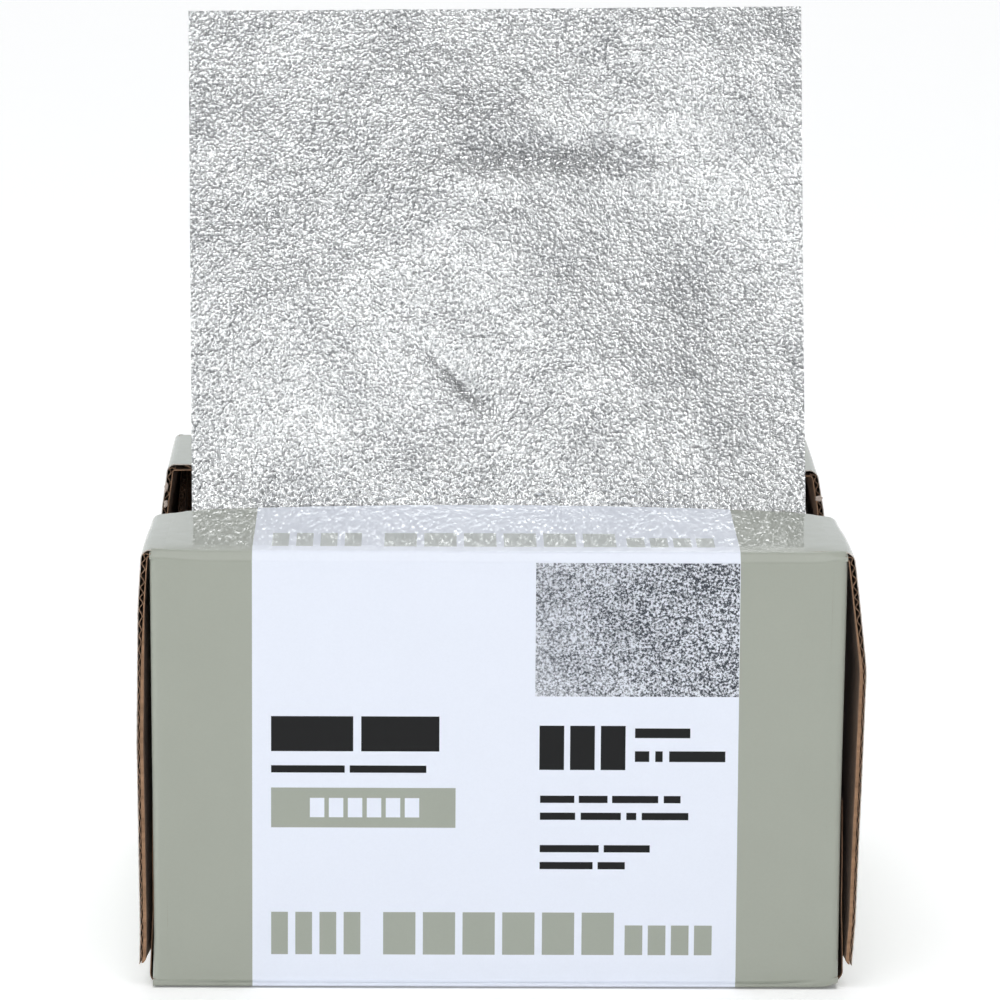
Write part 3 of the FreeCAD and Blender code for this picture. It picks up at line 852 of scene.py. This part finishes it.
for side, sign in SIDES.items():
    corners, radii, flare, (pinch, tuck) = OUTER_SECTIONS[side]
    section = Profile(corners, radii, -1.0)
    body = f"{side}_outer_end_flap"

    def outer_place(u, v, depth, section=section, sign=sign, flare=flare, pinch=pinch, tuck=tuck):
        crushed = END_CRUSH * smooth(v, section.length - END_RUN, section.length)
        x, z = section.at(v, depth * (1 - crushed))
        beyond = smooth(x, LAP + 0.1, LAP + 3.5)
        low = smooth(-z, -84.0, -66.0)
        pull = smooth(-u, HALF_DEPTH - FLARE_RUN, HALF_DEPTH) ** 1.3
        x = x + flare * (pull - 1.0) * low
        x = x - pinch * smooth(u, -5.0, STRIP_EDGE) * smooth(z, 77.0, 88.5) * beyond
        x = x - tuck * smooth(u, 34.0, 66.0) * smooth(-z, *TUCK_HIGH) * smooth(z, *TUCK_LOW)
        return np.column_stack((sign * x, u, z))

    def outer_pattern(u, v, depth, sign=sign):
        return np.column_stack((sign * (LAP + v), u, np.full_like(u, depth)))

    flap = Sheet(outer_place, outer_pattern, green_only, 0.4, pressed=True)
    rear_keep = strip_turn + STRIP_EDGE - 0.1
    outline, keep, floor = flap_shape(section, -68.3, rear_keep, 0.25)
    inner_outline = flap_shape(section, -68.3, rear_keep, 0.35, END_CUT)[0]
    rows = list(section.stations[1:-1]) + spread(4.0, section.length, 5.0)
    rows += spread(section.length - END_RUN, section.length, 0.2)
    columns = spread(-70.0, -56.0, 2.0) + spread(-56.0, 70.0, 7.0)
    flap.liners(outline, columns, rows, inner_outline)
    legs = (
        lambda s: (FLAP_FRONT, LIP_EDGE + leg_inner_edge(floor, s) - WINDOW_EASE),
        lambda s: (STRIP_EDGE - leg_inner_edge(floor, s) + WINDOW_EASE, FLAP_LIMIT),
    )
    front_share = [0.0, 0.06, 0.12, 0.18, 0.25, 0.33, 0.6, 1.0]
    flap.flutes(keep, floor - 0.01, legs[0], front_share, along_u=False)
    flap.flutes(keep, floor - 0.01, legs[1], [0.0, 0.5, 1.0], along_u=False)
    wide = [0.0, 0.02, 0.04, 0.06, 0.08, 0.10, 0.3, 0.65, 1.0]
    below = section.length - END_CUT / 2
    flap.flutes(floor, below, lambda s: (FLAP_FRONT, FLAP_LIMIT), wide, along_u=False)
    for edge, toward, up, tall, depths in FLAKES[side]:
        flap.flake(edge, toward, section.station(1, up, 6.0), tall, depths)
    flap_board = as_board(flap, body)
    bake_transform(flap_board)

    # the inner end flap, up from the bottom panel
    inner_out = INNER_OUT[side]
    upright_x = inner_out - 0.45
    bowed = [(inner_out - 0.1, 8.0), (upright_x, 16.0), (upright_x, INNER_TOP)]
    inner_section = Profile([(LAP, 0.0), (inner_out, 0.0)] + bowed, [2.5, 20.0, 30.0])
    body = f"{side}_inner_end_flap"

    def inner_place(u, v, depth, section=inner_section, sign=sign):
        x, z = section.at(v, depth)
        return np.column_stack((sign * x, u, z))

    # its cut edge takes the dark inner-liner kraft, not the pale liner edge: painted shade of the gap
    # beside the outer flap
    inner = Sheet(inner_place, outer_pattern, green_only, 1.1, edge="kraft")
    top_at = inner_section.length
    half = [(INNER_REACH, 0.0), (INNER_REACH, INNER_SHOULDER)]
    half += [(INNER_REACH - INNER_TAPER, top_at)]
    inner_shape = half + [(-u, v) for u, v in reversed(half)]
    inner_rows = list(inner_section.stations[1:-1]) + [20.0, INNER_SHOULDER]
    inner.liners(inner_shape, spread(-INNER_REACH, INNER_REACH, 9.0), inner_rows)

    def inner_span(s):
        beyond = np.clip((s - INNER_SHOULDER) / (top_at - INNER_SHOULDER), 0, 1)
        tip = INNER_REACH - INNER_OPEN - INNER_TAPER * beyond
        return (-tip, tip)

    inner.flutes(0.3, top_at - 0.05, inner_span, np.linspace(0, 1, 6), along_u=False)
    inner_board = as_board(inner, body)
    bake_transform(inner_board)

    # the two dust flaps, round the vertical corners of the front and back walls
    for end, toward in (("front", -1.0), ("rear", 1.0)):
        dust_section = Profile(
            [(LAP, HALF_DEPTH), (HALF_WIDTH, HALF_DEPTH), (68.55, 60.0), (68.5, 32.8)],
            [1.4, 25.0],
            -1.0,
        )
        body = f"{side}_{end}_dust_flap"

        def dust_place(u, v, depth, section=dust_section, sign=sign, toward=toward):
            x, y = section.at(u, depth)
            return np.column_stack((sign * x, toward * y, v))

        def dust_pattern(u, v, depth, sign=sign):
            return np.column_stack((sign * (LAP + u), v, np.full_like(u, depth)))

        dust = Sheet(dust_place, dust_pattern, green_only, 0.9, edge="kraft")
        tip = dust_section.length
        knees = (0.0, 3.6, 5.2, tip)

        def dust_span(s, knees=knees):
            return np.interp(s, knees, DUST_LOWS), np.interp(s, knees, DUST_HIGHS)

        dust_shape = [(s, dust_span(s)[0]) for s in knees]
        dust_shape += [(s, dust_span(s)[1]) for s in reversed(knees)]
        dust_columns = list(dust_section.stations[1:-1]) + spread(5.0, tip, 8.0)
        dust.liners(dust_shape, dust_columns, spread(SLIT_LOW, SLIT_HIGH, 9.0))
        dust.flutes(0.05, tip - 0.1, dust_span, np.linspace(0, 1, 6))
        dust_board = as_board(dust, body)
        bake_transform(dust_board)

# -------------------- foil


def crinkle(rows, columns, blur, seed):
    """Smooth random relief of unit spread over a grid, made by blurring seeded noise."""
    made = np.random.default_rng(seed).standard_normal((rows, columns))
    reach = int(blur * 3) + 1
    kernel = np.exp(-0.5 * (np.arange(-reach, reach + 1) / blur) ** 2)
    kernel /= kernel.sum()
    for axis in (0, 1):
        made = np.apply_along_axis(lambda line: np.convolve(line, kernel, "same"), axis, made)
    return (made - made.mean()) / made.std()


SHEET_WIDTH, SHEET_LENGTH = 127.0, 115.6  # the straight stretch of the standing sheet
SHEET_LEAN, SHEET_TURN = math.radians(11.1), math.radians(0.66)
FOIL_THICK = 0.05


def foil_grid(width, length, step, seed, emboss, sway):
    """Across, along and relief of one sheet: fine emboss over a slow sway."""
    columns, rows = round(width / step) + 1, round(length / step) + 1
    across = np.linspace(-width / 2, width / 2, columns)
    along = np.linspace(0.0, length, rows)
    a, b = np.meshgrid(across, along)
    fine = crinkle(rows, columns, 0.8 * 0.55 / step, seed)
    slow = crinkle(rows, columns, 16.0 / step, seed + 1)
    middling = crinkle(rows, columns, 4.5 / step, seed + 2)
    return a, b, emboss * fine, sway * (slow + 0.10 * middling)


def dents(a, b):
    """The standing sheet's two pressed places: a level trough high up, a slanted one low down."""
    trough = -0.35 * np.exp(-(((b - 86.5 - 0.03 * a) / 3.4) ** 2) - ((a - 6.0) / 24.0) ** 2)
    ridge = 0.25 * np.exp(-(((b - 80.5) / 3.0) ** 2) - ((a - 14.0) / 20.0) ** 2)
    u, v = (a + 6.5) * 0.72 + (b - 37.5) * 0.69, -(a + 6.5) * 0.69 + (b - 37.5) * 0.72
    pinch = -0.55 * np.exp(-((u / 1.8) ** 2) - (v / 9.0) ** 2)
    return trough + ridge + pinch


def add_foil(name, node, a, b, relief, origin, across, along, seed_pattern):
    normal = np.cross(across, along)
    spine = np.asarray(origin)[None, :] + a.ravel()[:, None] * across[None, :]
    spine = spine + b.ravel()[:, None] * along[None, :]
    front_skin = spine + (relief.ravel() + FOIL_THICK / 2)[:, None] * normal[None, :]
    back_skin = spine + (relief.ravel() - FOIL_THICK / 2)[:, None] * normal[None, :]
    pattern = np.column_stack((a.ravel() + seed_pattern, b.ravel(), np.zeros(a.size)))
    cells, rim = grid_cells(*a.shape)
    build = Build()
    fill = ["foil"] * len(cells)
    flat = np.column_stack((a.ravel(), b.ravel()))
    build.solid(flat, cells, rim, front_skin, back_skin, fill, "foil", "foil", pattern)
    made = build.object(name, node if node == "popped_sheet" else "carton", angle=80.0)
    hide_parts(node)
    return made


low, high = (np.array(corner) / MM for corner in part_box("popped_sheet"))
centre = (low + high) / 2
sin_l, cos_l = math.sin(SHEET_LEAN), math.cos(SHEET_LEAN)
sin_t, cos_t = math.sin(SHEET_TURN), math.cos(SHEET_TURN)
sheet_across = np.array((cos_t, sin_t * sin_l, sin_t * cos_l))
sheet_along = np.array((-sin_t, cos_t * sin_l, cos_t * cos_l))
a, b, fine, slow = foil_grid(SHEET_WIDTH, SHEET_LENGTH, 0.55, 5, 0.028, 0.35)
relief = fine + (slow + dents(a, b)) * (smooth(b, 0.0, 14.0) * 0.8 + 0.2)
foot = centre - sheet_along * SHEET_LENGTH / 2
add_foil("popped_foil", "popped_sheet", a, b, relief, foot, sheet_across, sheet_along, 0.0)

east, north = np.array((1.0, 0.0, 0.0)), np.array((0.0, 1.0, 0.0))
for node, seed in (("next_sheet", 31), ("third_sheet", 41)):
    low, high = (np.array(corner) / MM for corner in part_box(node))
    width, length = high[0] - low[0], high[1] - low[1]
    a, b, fine, slow = foil_grid(width, length, 0.8, seed, 0.03, 0.03)
    origin = np.array(((low[0] + high[0]) / 2, low[1], (low[2] + high[2]) / 2))
    add_foil(f"{node}_foil", node, a, b, fine + slow, origin, east, north, seed * 200.0)

low, high = (np.array(corner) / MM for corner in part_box("foil_stack"))
LAYERS = 118  # bundles of leaves drawn one by one, fewer than the real sheets
layer = (high[2] - low[2]) / LAYERS
thick = layer * 0.86
stack_rng = np.random.default_rng(77)
stack = Build()
stations = np.linspace(low[0], high[0], 15)
turns = np.radians(np.arange(-90, 91, 45))
for i in range(LAYERS):
    shift_y, shift_x = stack_rng.uniform(-0.3, 0.3), stack_rng.uniform(-0.25, 0.25)
    trim = stack_rng.uniform(0.0, 0.5)
    middle = low[2] + layer * (i + 0.5)
    front_y, rear_y = low[1] + 0.35 + shift_y, high[1] - 0.35 + shift_y
    section_yz = [(rear_y + thick / 2 * (math.cos(t) - 1), thick / 2 * math.sin(t)) for t in turns]
    section_yz += [(front_y - thick / 2 * (math.cos(t) - 1), -thick / 2 * math.sin(t)) for t in turns]
    ripple = stack_rng.uniform(0, 6.28)  # where the layer's slow wave begins, in radians
    base = len(stack.points)
    for j, x in enumerate(stations):
        x = np.clip(x + shift_x + (trim if j == 0 else 0.0), low[0], high[0])
        lift = 0.035 * math.sin(x * 0.21 + ripple)
        for y, dz in section_yz:
            stack.points.append((x, y, middle + dz + lift))
            stack.pattern.append((x, y, (i + dz) * 3.0))
    ring = len(section_yz)
    for j in range(len(stations) - 1):
        for k in range(ring):
            m = (k + 1) % ring
            row, following = base + j * ring, base + (j + 1) * ring
            stack.faces.append([row + k, row + m, following + m, following + k])
            stack.fills.append("stack")
    stack.faces.append([base + k for k in reversed(range(ring))])
    stack.faces.append([base + (len(stations) - 1) * ring + k for k in range(ring)])
    stack.fills += ["stack", "stack"]
stack_object = stack.object("interfolded_foil_stack", "carton", 50.0)
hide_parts("foil_stack")

# -------------------- floor, light, camera


def stage_material(name, color, glow):
    """Pale paper with a little painted glow, as over a light table; under the carton a painted
    contact shadow darkens its colour and dims the glow.
    """
    s = Shader(name)
    spread_tone = s.noise(0.02, 2.0)
    # painted contact shadow: a soft mask of the carton's footprint
    painted_contact_shadow = 1.0
    for axis, half in ((0, HALF_WIDTH), (1, HALF_DEPTH)):
        along = s.add("ShaderNodeSeparateXYZ", axis, {0: s.place})
        inside = s.span(s.maths("ABSOLUTE", along), half + 0.1, half - 0.7)
        painted_contact_shadow = s.maths("MULTIPLY", inside, painted_contact_shadow)
    tone = s.mix(spread_tone, shade(color, 0.985), shade(color, 1.0))
    return s.finish(
        # painted contact shadow: darker colour under the carton
        Base_Color=s.mix(painted_contact_shadow, tone, shade(color, 0.7)),
        Roughness=0.8,
        Normal=s.bump(s.noise(0.3, 2.0), 0.02),
        # painted glow that lights the carton from below, dropped to 0.4 of it in the painted contact
        # shadow
        Emission_Color=(1.0, 1.0, 1.0, 1),
        Emission_Strength=s.span(painted_contact_shadow, 0.0, 1.0, glow, 0.4 * glow),
    )


MATERIALS["floor"] = stage_material("floor_paper", (0.88, 0.88, 0.88, 1), 0.31)
FLOOR_HALF, FLOOR_DROP, FLOOR_TICKS = 7000.0, 0.15, 9
floor_ticks = np.linspace(-FLOOR_HALF, FLOOR_HALF, FLOOR_TICKS)
floor_points = [(x, y, -FLOOR_DROP) for x in floor_ticks for y in floor_ticks]
floor_cells, _ = grid_cells(FLOOR_TICKS, FLOOR_TICKS)
floor_fills = ["floor"] * len(floor_cells)
floor = make_object("floor", floor_points, floor_cells, floor_points, floor_fills)

world = bpy.data.worlds.new("studio")
bpy.context.scene.world = world
world.use_nodes = True
tree = world.node_tree
background = tree.nodes["Background"]
where = tree.nodes.new("ShaderNodeTexCoord")
split = tree.nodes.new("ShaderNodeSeparateXYZ")
tree.links.new(where.outputs["Generated"], split.inputs[0])


def sky_ramp(axis, low, high, at_low, at_high):
    """The sky's strength, rising or falling along one axis of its direction."""
    ramp = tree.nodes.new("ShaderNodeMapRange")
    ramp.interpolation_type = "SMOOTHSTEP"
    for key, value in zip(("From Min", "From Max", "To Min", "To Max"), (low, high, at_low, at_high)):
        ramp.inputs[key].default_value = value
    tree.links.new(split.outputs[axis], ramp.inputs["Value"])
    return ramp.outputs[0]


both = tree.nodes.new("ShaderNodeMath")
both.operation = "MULTIPLY"
tree.links.new(sky_ramp("Y", -0.35, 0.35, 0.20, 0.85), both.inputs[0])
tree.links.new(sky_ramp("Z", 0.2, 0.7, 1.0, 0.4), both.inputs[1])
tree.links.new(both.outputs[0], background.inputs["Strength"])
background.inputs["Color"].default_value = (0.945, 0.975, 1.0, 1.0)


def softbox(name, spot, aim, width, height, power, color=(1, 1, 1)):
    light = bpy.data.lights.new(name, "AREA")
    light.shape, light.size, light.size_y = "RECTANGLE", width, height
    light.energy, light.color = power, color
    lamp = bpy.data.objects.new(name, light)
    bpy.context.scene.collection.objects.link(lamp)
    lamp.location = spot
    lamp.rotation_mode = "QUATERNION"
    lamp.rotation_quaternion = (Vector(aim) - Vector(spot)).to_track_quat("-Z", "Y")


AIM = (0.0, 0.0, 0.09)  # the lights' places and sizes are in metres, their power in watts
softbox("softbox_top", (0.0, 0.25, 1.7), AIM, 1.6, 1.4, 5.5)
softbox("softbox_fore", (0.0, -0.85, 1.6), (0.0, -0.5, 0.0), 1.3, 0.8, 13.0)
softbox("softbox_floor", (0.0, 2.4, 2.2), (0.0, 2.2, 0.0), 2.6, 2.0, 27.0)
softbox("softbox_front", (-0.05, -2.5, 0.66), AIM, 0.95, 0.85, 5.4)
softbox("softbox_left", (-2.0, -0.65, 0.5), AIM, 0.8, 0.8, 12.5, (0.93, 0.975, 1.0))
softbox("softbox_right", (1.5, -1.6, 0.5), AIM, 0.8, 1.0, 3.0)

camera_data = bpy.data.cameras.new("camera")
camera = bpy.data.objects.new("camera", camera_data)
bpy.context.scene.collection.objects.link(camera)
bpy.context.scene.camera = camera
CAMERA_SPOT = (-0.0153, -1.2506, 0.3131)
YAW, PITCH_DOWN, ROLL = 0.0132, 0.1783, 0.0061
camera_data.sensor_width = 36.0
camera_data.lens = 216.5
camera_data.clip_start, camera_data.clip_end = 0.05, 60.0
ahead = math.cos(PITCH_DOWN)
forward = Vector((math.sin(YAW) * ahead, math.cos(YAW) * ahead, -math.sin(PITCH_DOWN)))
level = Vector((math.cos(YAW), -math.sin(YAW), 0.0))
upright = level.cross(forward)
right = level * math.cos(ROLL) + upright * math.sin(ROLL)
up = upright * math.cos(ROLL) - level * math.sin(ROLL)
turned = Matrix((right, up, -forward)).transposed()
camera.matrix_world = Matrix.Translation(CAMERA_SPOT) @ turned.to_4x4()

view_settings = bpy.context.scene.view_settings
view_settings.view_transform = "Standard"
view_settings.look = "None"
